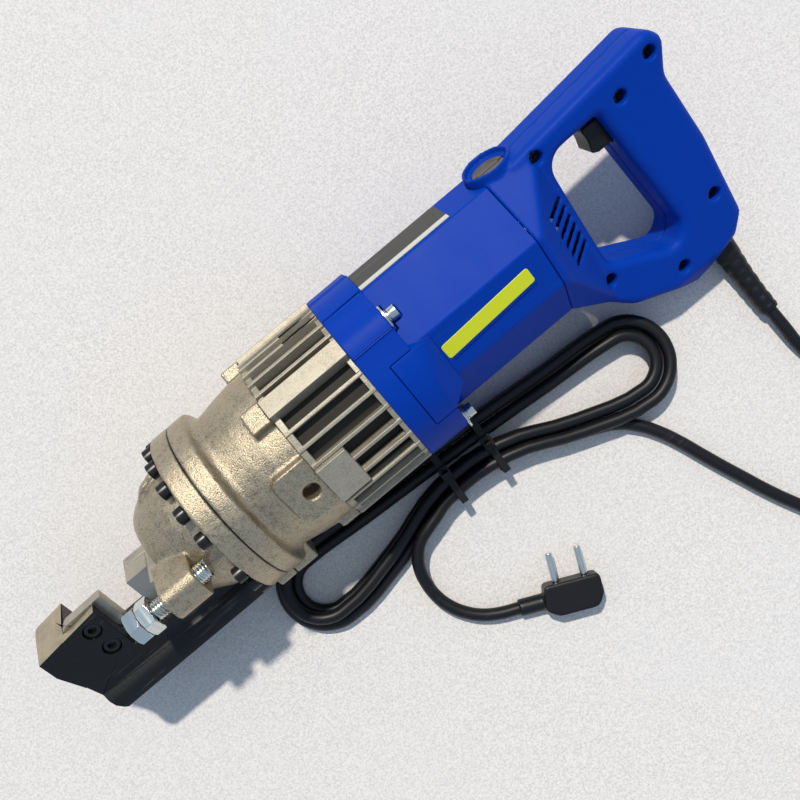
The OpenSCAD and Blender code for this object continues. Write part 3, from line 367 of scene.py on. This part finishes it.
copperMetal = finishMaterial("copperMetal", groundSteel, 1, (0.15, 0.2), {
    "Base": tone(0.68, 0.33, 0.17), "Oil": tone(0.4, 0.18, 0.09), "Gloss": 0.35})
laminatedSteel = finishMaterial("laminatedSteel", groundSteel, 0.9, (0.3, 0.2), {
    "Base": tone(0.2, 0.2, 0.21), "Oil": tone(0.1, 0.1, 0.1), "Gloss": 0.45})
yellowFoil = finishMaterial("yellowFoil", handling, 0, (0.03, 0.1), {
    "Base": tone(0.66, 0.70, 0.008), "Worn": tone(0.75, 0.78, 0.2), "Amount": 0.2, "Gloss": 0.38,
    "Grain": 600})


def makeFramePaint():
    # black paint on the forged jaw, with unpainted steel on its up-facing tops on the machined step:
    # partly real wear, partly a painted highlight on the faces turned to the sun
    wornAndLit = {"facing": (0.75, 0.92), "height": (-3, -1), "ragged": (0.22, 0.3), "patches": 120,
            "spec": 0.34}
    material, tree, shader = newMaterial("framePaint")
    space = toolSpace(tree)
    paint = groupNode(tree, handling, Base=tone(0.005, 0.005, 0.005), Worn=tone(0.14, 0.13, 0.11),
                      Amount=0.75, Gloss=0.34, Grain=420)
    metal = groupNode(tree, groundSteel, Base=tone(0.52, 0.44, 0.31), Oil=tone(0.25, 0.2, 0.135),
                      Gloss=0.36)
    for node in (paint, metal):
        link(tree, space, node.inputs["Vector"])
    geometry = tree.nodes.new("ShaderNodeNewGeometry")
    facing = tree.nodes.new("ShaderNodeVectorMath")
    facing.operation = "DOT_PRODUCT"
    facing.inputs[1].default_value = toolMatrix.to_3x3().normalized() @ Vector((0, 0, 1))
    link(tree, geometry.outputs["Normal"], facing.inputs[0])
    # faces turned up, toward the sun, get the lighter metal colour: partly painted light, partly real
    # wear
    top = rangeNode(tree, facing.outputs["Value"], *wornAndLit["facing"])
    low, high = wornAndLit["height"]
    step = rangeNode(tree, separated(tree, space)["Z"], low * mm, high * mm)
    ragged = rangeNode(tree, noiseNode(tree, space, wornAndLit["patches"], 4, 0.6), *wornAndLit["ragged"])
    bareAndLit = mathNode(tree, "MULTIPLY", mathNode(tree, "MULTIPLY", top, step), ragged)
    link(tree, mixColour(tree, bareAndLit, paint.outputs["Color"], metal.outputs["Color"]),
         shader.inputs["Base Color"])
    link(tree, bareAndLit, shader.inputs["Metallic"])
    shader.inputs["Specular IOR Level"].default_value = wornAndLit["spec"]
    rough = tree.nodes.new("ShaderNodeMix")
    link(tree, bareAndLit, rough.inputs[0])
    link(tree, paint.outputs["Roughness"], rough.inputs[2])
    link(tree, metal.outputs["Roughness"], rough.inputs[3])
    link(tree, rough.outputs[0], shader.inputs["Roughness"])
    addBump(tree, shader, paint.outputs["Height"], 0.3, 0.3)
    return material


def makeRibMetal():
    # machined and cast ribs, pale on their crests, with painted shade, nearly black, down between them,
    # darker towards the rib foot
    ribs = {"foot": 50.3, "top": 53.2, "gapShade": (0.020, 0.016, 0.010)}
    material, tree, shader = newMaterial("ribMetal")
    space = toolSpace(tree)
    cast = groupNode(tree, sandCast, Base=tone(0.43, 0.39, 0.30), Shade=tone(0.27, 0.24, 0.175),
                     Grain=1300, Lumps=120)
    link(tree, space, cast.inputs["Vector"])
    axes = separated(tree, space)
    across = mathNode(tree, "MULTIPLY", axes["Y"], axes["Y"])
    up = mathNode(tree, "MULTIPLY", axes["Z"], axes["Z"])
    radius = mathNode(tree, "SQRT", mathNode(tree, "ADD", across, up))
    crest = rangeNode(tree, radius, ribs["foot"] * mm, ribs["top"] * mm)
    # painted shade between the ribs: the colour goes nearly black below the crests
    link(tree, mixColour(tree, crest, ribs["gapShade"], cast.outputs["Color"]), shader.inputs["Base Color"])
    link(tree, rangeNode(tree, crest, 0.2, 0.9, 0.7, 0.5), shader.inputs["Roughness"])
    link(tree, rangeNode(tree, crest, 0.4, 1, 0.1, 0.55), shader.inputs["Metallic"])
    addBump(tree, shader, cast.outputs["Height"], 0.3, 0.3)
    return material


def makeRatingPlate():
    # dark foil plate with one plain light stripe along its near edge
    stripe = {"from": -12.5, "to": -7.6, "blur": 0.1, "colour": (0.62, 0.61, 0.56)}
    material, tree, shader = newMaterial("ratingFoil")
    space = toolSpace(tree)
    base = groupNode(tree, handling, Base=tone(0.03, 0.03, 0.027), Worn=tone(0.3, 0.29, 0.26),
                     Amount=0.5, Gloss=0.32, Grain=800)
    link(tree, space, base.inputs["Vector"])
    across = separated(tree, space)["Y"]
    starts, ends = [
        rangeNode(tree, across, (edge - stripe["blur"]) * mm, (edge + stripe["blur"]) * mm, *ramp)
        for edge, ramp in ((stripe["from"], (0, 1)), (stripe["to"], (1, 0)))
    ]
    inside = mathNode(tree, "MULTIPLY", starts, ends)
    link(tree, mixColour(tree, inside, base.outputs["Color"], stripe["colour"]),
         shader.inputs["Base Color"])
    link(tree, base.outputs["Roughness"], shader.inputs["Roughness"])
    shader.inputs["Metallic"].default_value = 0.3
    return material


framePaint, ribMetal, ratingFoil = makeFramePaint(), makeRibMetal(), makeRatingPlate()
print("materials made:", len(bpy.data.materials))


# Cord, hank and plug, in millimetres on the floor; the hank runs in steps, one point each
cordShape = {
    "diameter": 8.4, "pitch": 9.4, "foldRadius": 16, "run": 240, "waist": 2.5, "bow": 16,
    "centre": (6.3, -86.5), "turn": -4, "straightSteps": 5, "bendSteps": 7, "first": 1, "last": 75,
    "climb": (36, 41), "seat": 0.4, "lift": 2.1, "liftReach": 0.15, "clearance": 0.05,
    "leadIn": 10, "lastStep": 0.27, "overChords": 1.004,
}
reliefPath = [(222, -66, 15.9), (222, -75, 10.8), (222, -86, 8.6), (221.5, -100, 7.4),
              (221, -115, 6.9), (221, -129, 6.6)]
leadPath = [(221, -129, 6.6), (221, -143, 6.3), (221.6, -160, 4.2), (226, -181, 3.4),
            (231, -199, 3.4), (234, -218, 3.4), (232, -237, 3.4), (224, -254, 3.4),
            (209, -265, 3.4), (191, -268, 3.4), (174, -262, 3.4), (161, -249, 3.4),
            (152, -233, 3.4), (145, -218, 3.4), (139, -203, 3.4),
            (133, -188, 3.4), (127, -172, 3.4), (121.5, -157, 3.4), (115, -143, 3.4), (107, -131, 3.4),
            (97, -121.5, 3.4)]
tailPath = [(-47.5, -97.5, 12.9), (-54.5, -103, 11.6), (-60, -111, 9.2), (-63, -121, 6.8),
            (-63.5, -132, 5.4), (-61, -143, 5.2), (-56, -152.5, 5.2), (-48.5, -161, 5.4),
            (-38.5, -167.77, 5.6), (-27.6, -172.85, 5.6)]


def hankPoint(s):
    # one loop: a straight run, a bend, the run back and the other bend
    c = cordShape
    straight, bend = c["straightSteps"], c["bendSteps"]
    half = straight + bend
    k = s % (2 * half)
    middle = (c["first"] + c["last"]) / 2
    fold = c["foldRadius"] + c["pitch"] * abs(s - middle) / (2 * half)
    climb = (s - c["climb"][0]) / (c["climb"][1] - c["climb"][0])
    z = c["diameter"] * c["seat"] + c["pitch"] * max(0, min(1, climb))
    out = k < half
    if k <= straight or half <= k <= half + straight:
        x = c["run"] * (0.5 - k / straight if out else (k - half) / straight - 0.5)
        drawn = math.cos(math.pi * x / c["run"]) ** 2
        y = (-1 if out else 1) * (fold - (c["foldRadius"] - c["waist"]) * drawn) + c["bow"] * drawn
        z += c["lift"] if abs(x) < c["liftReach"] * c["run"] else 0
    else:
        into = (k if out else k - half) - straight
        a = math.radians((270 if out else 90) - 180 * into / bend)
        x = (-1 if out else 1) * c["run"] / 2 + fold * math.cos(a)
        y = fold * math.sin(a)
    turned = Matrix.Rotation(math.radians(c["turn"]), 3, "Z") @ Vector((x, y, 0))
    return Vector((c["centre"][0] + turned.x, c["centre"][1] + turned.y, z))


def cordRoute():
    c = cordShape
    hank = [hankPoint(s) for s in range(c["first"], c["last"] + 1)]
    hank.append(hank[-1] * (1 - c["lastStep"]) + hankPoint(c["last"] + 1) * c["lastStep"])
    into = hank[0] + (hank[0] - hank[1]).normalized() * c["leadIn"]
    away = hank[-1] + (hank[-1] - hank[-2]).normalized() * c["diameter"]
    points = [Vector(p) for p in leadPath] + [into] + hank + [away] + [Vector(p) for p in tailPath]
    return [Vector((p.x, p.y, max(p.z, c["diameter"] / 2 + c["clearance"]))) for p in points]


def smoothCurve(name, points, radius, steps, sides, radii=None):
    data = bpy.data.curves.new(name, "CURVE")
    data.dimensions = "3D"
    data.resolution_u = steps
    data.bevel_depth = radius * mm
    data.bevel_resolution = sides
    data.use_fill_caps = True
    spline = data.splines.new("BEZIER")
    spline.bezier_points.add(len(points) - 1)
    for i, (spot, p) in enumerate(zip(spline.bezier_points, points)):
        spot.co = floorMatrix @ Vector(p)
        spot.handle_left_type = spot.handle_right_type = "AUTO"
        spot.radius = 1 if radii is None else radii[i]
    return placed(name, data)


def chordLength(points):
    return sum((b - a).length for a, b in zip(points, points[1:])) * mm


route = cordRoute()
mainsCord = smoothCurve("mainsCord", route, cordShape["diameter"] / 2, 4, 3)
settle(mainsCord, "housing", "black_rubber", blackRubber, "cord_lead", "cord_hank", "cord_tail")

plugSkin = moulded("plug_body", blackRubber, 0.8, 8)
plugPins = softened("plug_pins", zincPlate, 0.6, 3)
tieSkin = softened("cable_ties", blackPlastic, 0.25, 1)


def makeRelief():
    # tapered boot with soft ribs where the cord enters the handle
    boot = {"radii": [8.4, 8.4, 7.9, 7.0, 6.5, 6.3], "steps": 6, "groove": 0.45, "ribsFrom": 2,
            "lip": 0.6}
    radii = boot["radii"]
    points, sizes = [], []
    for i in range(len(reliefPath) - 1):
        for j in range(boot["steps"]):
            t = j / boot["steps"]
            points.append(Vector(reliefPath[i]).lerp(Vector(reliefPath[i + 1]), t))
            base = radii[i] + (radii[i + 1] - radii[i]) * t
            grooved = i >= boot["ribsFrom"] and j % 3 == 1
            sizes.append(base - (boot["groove"] if grooved else 0))
    points.append(Vector(reliefPath[-1]))
    sizes.append(radii[-1] - boot["lip"])
    piece = smoothCurve("reliefBoot", points, 1, 2, 6, sizes)
    settle(piece, "housing", "black_rubber", blackRubber, "strain_relief")


makeRelief()
print("cord made, metres:", round(chordLength(route), 3))


# Jaw, castings and motor end: voxel and smoothing rounds for a cast or moulded piece,
# edge width and segments for a machined one
for node, make, material, size, count in (
    ("cutter_frame", softened, framePaint, 0.5, 2),
    ("fixed_blade", softened, bareSteel, 0.3, 2),
    ("moving_blade", softened, bareSteel, 0.3, 2),
    ("ram", softened, bareSteel, 0.4, 2),
    ("front_casting", moulded, castPaint, 0.95, 5),
    ("pump_body", moulded, castPaint, 0.95, 5),
    ("motor_housing", softened, ribMetal, 0.45, 2),
):
    make(node, material, size, count)
print("castings made")

# Blue mouldings with their plates, caps and trigger
for node, make, material, size, count in (
    ("handle_left", moulded, bluePlastic, 0.9, 12),
    ("handle_right", moulded, bluePlastic, 0.9, 12),
    ("motor_cover", softened, bluePlastic, 0.5, 3),
    ("collar", softened, bluePlastic, 0.9, 3),
    ("brush_caps", softened, brownPhenolic, 0.35, 2),
    ("rating_plate", softened, ratingFoil, 0.12, 1),
    ("side_plate", softened, yellowFoil, 0.12, 1),
    ("trigger", softened, blackPlastic, 1.2, 3),
):
    make(node, material, size, count)
print("blue mouldings made")


# Screws, nuts and washers
def socketTemplate(screw):
    # socket head screw along +X, its head's face at 0, with a knurled edge and a hexagon socket
    sides, knurl, tip = 48, 0.12, 0.01
    head, length, shank = screw["head"], screw["length"], screw["shank"]
    hexRadius, hexDepth, reach = screw["hexRadius"], screw["hexDepth"], screw["reach"]
    work = bmesh.new()

    def ringAt(x, r, notch=0.0, six=False):
        ring = []
        for i in range(sides):
            a = 2 * math.pi * i / sides
            q = r
            if six:
                q = r * math.cos(math.pi / 6) / math.cos((a % (math.pi / 3)) - math.pi / 6)
            q -= notch if i % 2 else 0
            ring.append(work.verts.new((x, q * math.cos(a), q * math.sin(a))))
        return ring

    rings = [
        ringAt(hexDepth, tip), ringAt(hexDepth, hexRadius, six=True),
        ringAt(0.25, hexRadius, six=True), ringAt(0, hexRadius * 1.12),
        ringAt(0, head * 0.86), ringAt(0.35, head), ringAt(0.8, head, knurl),
        ringAt(length - 0.2, head, knurl), ringAt(length, head * 0.97), ringAt(length, shank),
        ringAt(length + reach, shank), ringAt(length + reach, tip)
    ]
    for a, b in zip(rings, rings[1:]):
        for i in range(sides):
            j = (i + 1) % sides
            work.faces.new((a[i], a[j], b[j], b[i]))
    work.faces.new(rings[0])
    work.faces.new(list(reversed(rings[-1])))
    bmesh.ops.recalc_face_normals(work, faces=work.faces)
    return builtObject(screw["name"], work)


def screwTree():
    # puts the template on every point of the piece, its X axis along the point's stored direction
    tree = bpy.data.node_groups.new("screwsOnPoints", "GeometryNodeTree")
    tree.interface.new_socket("Geometry", in_out="INPUT", socket_type="NodeSocketGeometry")
    for key, kind in (("Screw", "Object"), ("Size", "Float"), ("Finish", "Material")):
        tree.interface.new_socket(key, in_out="INPUT", socket_type="NodeSocket" + kind)
    tree.interface.new_socket("Geometry", in_out="OUTPUT", socket_type="NodeSocketGeometry")
    start, end = tree.nodes.new("NodeGroupInput"), tree.nodes.new("NodeGroupOutput")
    points = tree.nodes.new("GeometryNodeMeshToPoints")
    info = tree.nodes.new("GeometryNodeObjectInfo")
    direction = tree.nodes.new("GeometryNodeInputNamedAttribute")
    direction.data_type = "FLOAT_VECTOR"
    direction.inputs["Name"].default_value = "direction"
    turn = tree.nodes.new("FunctionNodeAlignRotationToVector")
    turn.axis = "X"
    place = tree.nodes.new("GeometryNodeInstanceOnPoints")
    real = tree.nodes.new("GeometryNodeRealizeInstances")
    finish = tree.nodes.new("GeometryNodeSetMaterial")
    link(tree, start.outputs["Geometry"], points.inputs["Mesh"])
    link(tree, start.outputs["Screw"], info.inputs["Object"])
    link(tree, direction.outputs["Attribute"], turn.inputs["Vector"])
    link(tree, points.outputs["Points"], place.inputs["Points"])
    link(tree, info.outputs["Geometry"], place.inputs["Instance"])
    link(tree, turn.outputs["Rotation"], place.inputs["Rotation"])
    link(tree, start.outputs["Size"], place.inputs["Scale"])
    link(tree, place.outputs["Instances"], real.inputs["Geometry"])
    link(tree, real.outputs["Geometry"], finish.inputs["Geometry"])
    link(tree, start.outputs["Finish"], finish.inputs["Material"])
    link(tree, finish.outputs["Geometry"], end.inputs["Geometry"])
    return tree


screwsOnPoints = screwTree()


def screwSet(name, places, direction, screw, material, slotName, node):
    # places and direction in the tool's own axes and millimetres
    template = socketTemplate(screw)
    mesh = bpy.data.meshes.new(name)
    mesh.from_pydata([toolMatrix @ Vector(p) for p in places], [], [])
    turn = toolMatrix.to_3x3().normalized()
    layer = mesh.attributes.new("direction", "FLOAT_VECTOR", "POINT")
    for item in layer.data:
        item.vector = turn @ Vector(direction)
    piece = placed(name, mesh)
    modifier = piece.modifiers.new("screws", "NODES")
    modifier.node_group = screwsOnPoints
    sockets = screwsOnPoints.interface.items_tree
    ids = {item.name: item.identifier for item in sockets if item.in_out == "INPUT"}
    modifier[ids["Screw"]] = template
    modifier[ids["Size"]] = mm
    modifier[ids["Finish"]] = material
    shaded(applied(piece), 30)
    bpy.data.objects.remove(template)
    settle(piece, "housing", slotName, material, node)


def polar(x, angle, radius):
    a = math.radians(angle)
    return (x, -radius * math.sin(a), radius * math.cos(a))


boltCircle = 51
flangeAngles = [s * (10 + 20 * k) for s in (-1, 1) for k in range(4)] + \
               [s * (105 + 17 * k) for s in (-1, 1) for k in range(3)]
flangeScrew = {"name": "flangeTemplate", "head": 5, "length": 6, "shank": 3, "reach": 20.1,
               "hexRadius": 2.9, "hexDepth": 3.4, "x": -133.5}
screwSet("flangeSocketScrews", [polar(flangeScrew["x"], a, boltCircle) for a in flangeAngles],
         (1, 0, 0), flangeScrew, blackOxide, "black_screw", "flange_screws")
cornerAngles = [-37, 37, 143, 217]
cornerBolt = {"name": "cornerTemplate", "head": 4.25, "length": 5, "shank": 2.5, "reach": 45,
              "hexRadius": 2.3, "hexDepth": 2.8, "x": 30.2}
screwSet("cornerBolts", [polar(cornerBolt["x"], a, boltCircle) for a in cornerAngles],
         (-1, 0, 0), cornerBolt, zincPlate, "zinc_steel", "collar_bolts")
bladeScrew = {"name": "bladeTemplate", "head": 5, "length": 5, "shank": 3, "reach": 9,
              "hexRadius": 2.9, "hexDepth": 2.6, "x": -221.5, "y": -19.8 + 1.1, "heights": (2, -14)}
screwSet("jawBladeScrews", [(bladeScrew["x"], bladeScrew["y"], z) for z in bladeScrew["heights"]],
         (0, 1, 0), bladeScrew, blackOxide, "black_screw", "fixed_blade_screws")


def makeWashers():
    # flat washer and split spring washer under each corner bolt: both faces, bore and outer radius
    washers = {"flat": (22.05, 23.5, 2.6, 8.5), "spring": (23.6, 24.55, 2.6, 4.4), "steps": 48,
               "edge": 0.25, "turn": 0.975, "rise": 0.5}
    edge = washers["edge"]
    work = bmesh.new()

    def band(place, x0, x1, inner, outer, split):
        rings = []
        for i in range(washers["steps"] + 1):
            t = i / washers["steps"]
            a = 2 * math.pi * t * (washers["turn"] if split else 1)
            lift = washers["rise"] * t if split else 0
            rings.append([
                work.verts.new(place @ Vector((x + lift, r * math.cos(a), r * math.sin(a))))
                for x, r in ((x0, inner), (x0, outer - edge), (x0 + edge, outer), (x1 - edge, outer),
                             (x1, outer - edge), (x1, inner))
            ])
        corners = len(rings[0])
        for a, b in zip(rings, rings[1:]):
            for i in range(corners):
                j = (i + 1) % corners
                work.faces.new((a[i], b[i], b[j], a[j]))
        if split:
            work.faces.new(rings[0])
            work.faces.new(list(reversed(rings[-1])))

    for angle in cornerAngles:
        place = toolMatrix @ Matrix.Translation(polar(0, angle, boltCircle))
        band(place, *washers["flat"], False)
        band(place, *washers["spring"], True)
    bmesh.ops.remove_doubles(work, verts=work.verts, dist=1e-6)
    bmesh.ops.recalc_face_normals(work, faces=work.faces)
    piece = shaded(builtObject("boltWashers", work), 30)
    settle(piece, "housing", "zinc_steel", zincPlate, "collar_washers")


makeWashers()


def makeStopperBolt():
    # threaded bolt: the thread's depth follows the angle, so that it climbs as a helix
    bolt = {"x0": -193, "x1": -139, "radius": 6, "pitch": 1.75, "depth": 0.95, "y": -49, "z": 3,
            "pointLength": 1.5, "pointDepth": 0.8, "sides": 40, "ringsPerPitch": 6}
    sides = bolt["sides"]
    rows = int((bolt["x1"] - bolt["x0"]) / bolt["pitch"] * bolt["ringsPerPitch"])
    work = bmesh.new()
    rings = []
    for i in range(rows + 1):
        x = bolt["x0"] + (bolt["x1"] - bolt["x0"]) * i / rows
        full = min(1, (x - bolt["x0"]) / bolt["pointLength"], (bolt["x1"] - x) / bolt["pointLength"])
        ring = []
        for j in range(sides):
            phase = (x / bolt["pitch"] - j / sides) % 1
            r = bolt["radius"] - bolt["depth"] * abs(2 * phase - 1) - bolt["pointDepth"] * (1 - full)
            a = 2 * math.pi * j / sides
            spot = Vector((x, bolt["y"] + r * math.cos(a), bolt["z"] + r * math.sin(a)))
            ring.append(work.verts.new(toolMatrix @ spot))
        rings.append(ring)
    for a, b in zip(rings, rings[1:]):
        for j in range(sides):
            k = (j + 1) % sides
            work.faces.new((a[j], a[k], b[k], b[j]))
    work.faces.new(list(reversed(rings[0])))
    work.faces.new(rings[-1])
    bmesh.ops.recalc_face_normals(work, faces=work.faces)
    piece = shaded(builtObject("stopperThread", work), 50)
    settle(piece, "stopper", "zinc_steel", zincPlate, "stopper_bolt")


makeStopperBolt()
softened("stopper_nuts", zincPlate, 0.3, 2)
softened("handle_screws", blackOxide, 0.2, 1)
print("fasteners made")

# Hidden pieces keep their solids, with their finishes
finishOf = {
    "bare_steel": bareSteel, "cast_metal": castPaint, "zinc_steel": zincPlate,
    "black_screw": blackOxide, "lamination": laminatedSteel, "copper": copperMetal,
    "blue_plastic": bluePlastic, "black_plastic": blackPlastic, "brown_plastic": brownPhenolic,
    "black_rubber": blackRubber, "dark_plate": ratingFoil, "yellow_plate": yellowFoil,
    "black_frame": framePaint,
}
for name, node in frame["nodes"].items():
    node.data.materials.clear()
    node.data.materials.append(finishOf[nodeSlot[name]])
print("solids painted")


# Floor, light and world
def makeFloorMaterial():
    material, tree, shader = newMaterial("paleFloor")
    coords = tree.nodes.new("ShaderNodeTexCoord")
    speck = noiseNode(tree, coords.outputs["Object"], 700, 4, 0.75)
    cloud = noiseNode(tree, coords.outputs["Object"], 9, 3, 0.5)
    pale = mixColour(tree, rangeNode(tree, speck, 0.35, 0.6), (0.52, 0.495, 0.47), (0.765, 0.73, 0.69))
    pale = mixColour(tree, rangeNode(tree, cloud, 0.3, 0.7, 0, 0.35), pale, (0.68, 0.66, 0.645))
    link(tree, pale, shader.inputs["Base Color"])
    shader.inputs["Roughness"].default_value = 0.75
    addBump(tree, shader, speck, 0.35, 0.4)
    return material


floorPlate = {"half": 4, "z": -0.0004}  # metres
floorMesh = bpy.data.meshes.new("floor")
floorMesh.from_pydata([(x * floorPlate["half"], y * floorPlate["half"], floorPlate["z"])
                       for x, y in ((-1, -1), (1, -1), (1, 1), (-1, 1))], [], [(0, 1, 2, 3)])
floorMesh.materials.append(makeFloorMaterial())
floorObject = placed("floor", floorMesh)

lights = {"sun": 3.2, "sunSize": 2.5, "sunColour": (1.0, 0.94, 0.85), "towardsSun": (0.10, 0.62, 1),
          "fill": 0.56, "fillColour": (0.60, 0.76, 1.0, 1)}
sunData = bpy.data.lights.new("sun", "SUN")
sunData.energy = lights["sun"]
sunData.angle = math.radians(lights["sunSize"])
sunData.color = lights["sunColour"]
sun = placed("sun", sunData)
sun.rotation_euler = Vector(lights["towardsSun"]).to_track_quat("Z", "Y").to_euler()

world = bpy.data.worlds.new("studio")
bpy.context.scene.world = world
world.use_nodes = True
background = world.node_tree.nodes["Background"]
background.inputs["Color"].default_value = lights["fillColour"]
background.inputs["Strength"].default_value = lights["fill"]
bpy.context.scene.view_settings.view_transform = "Standard"
print("stage set")
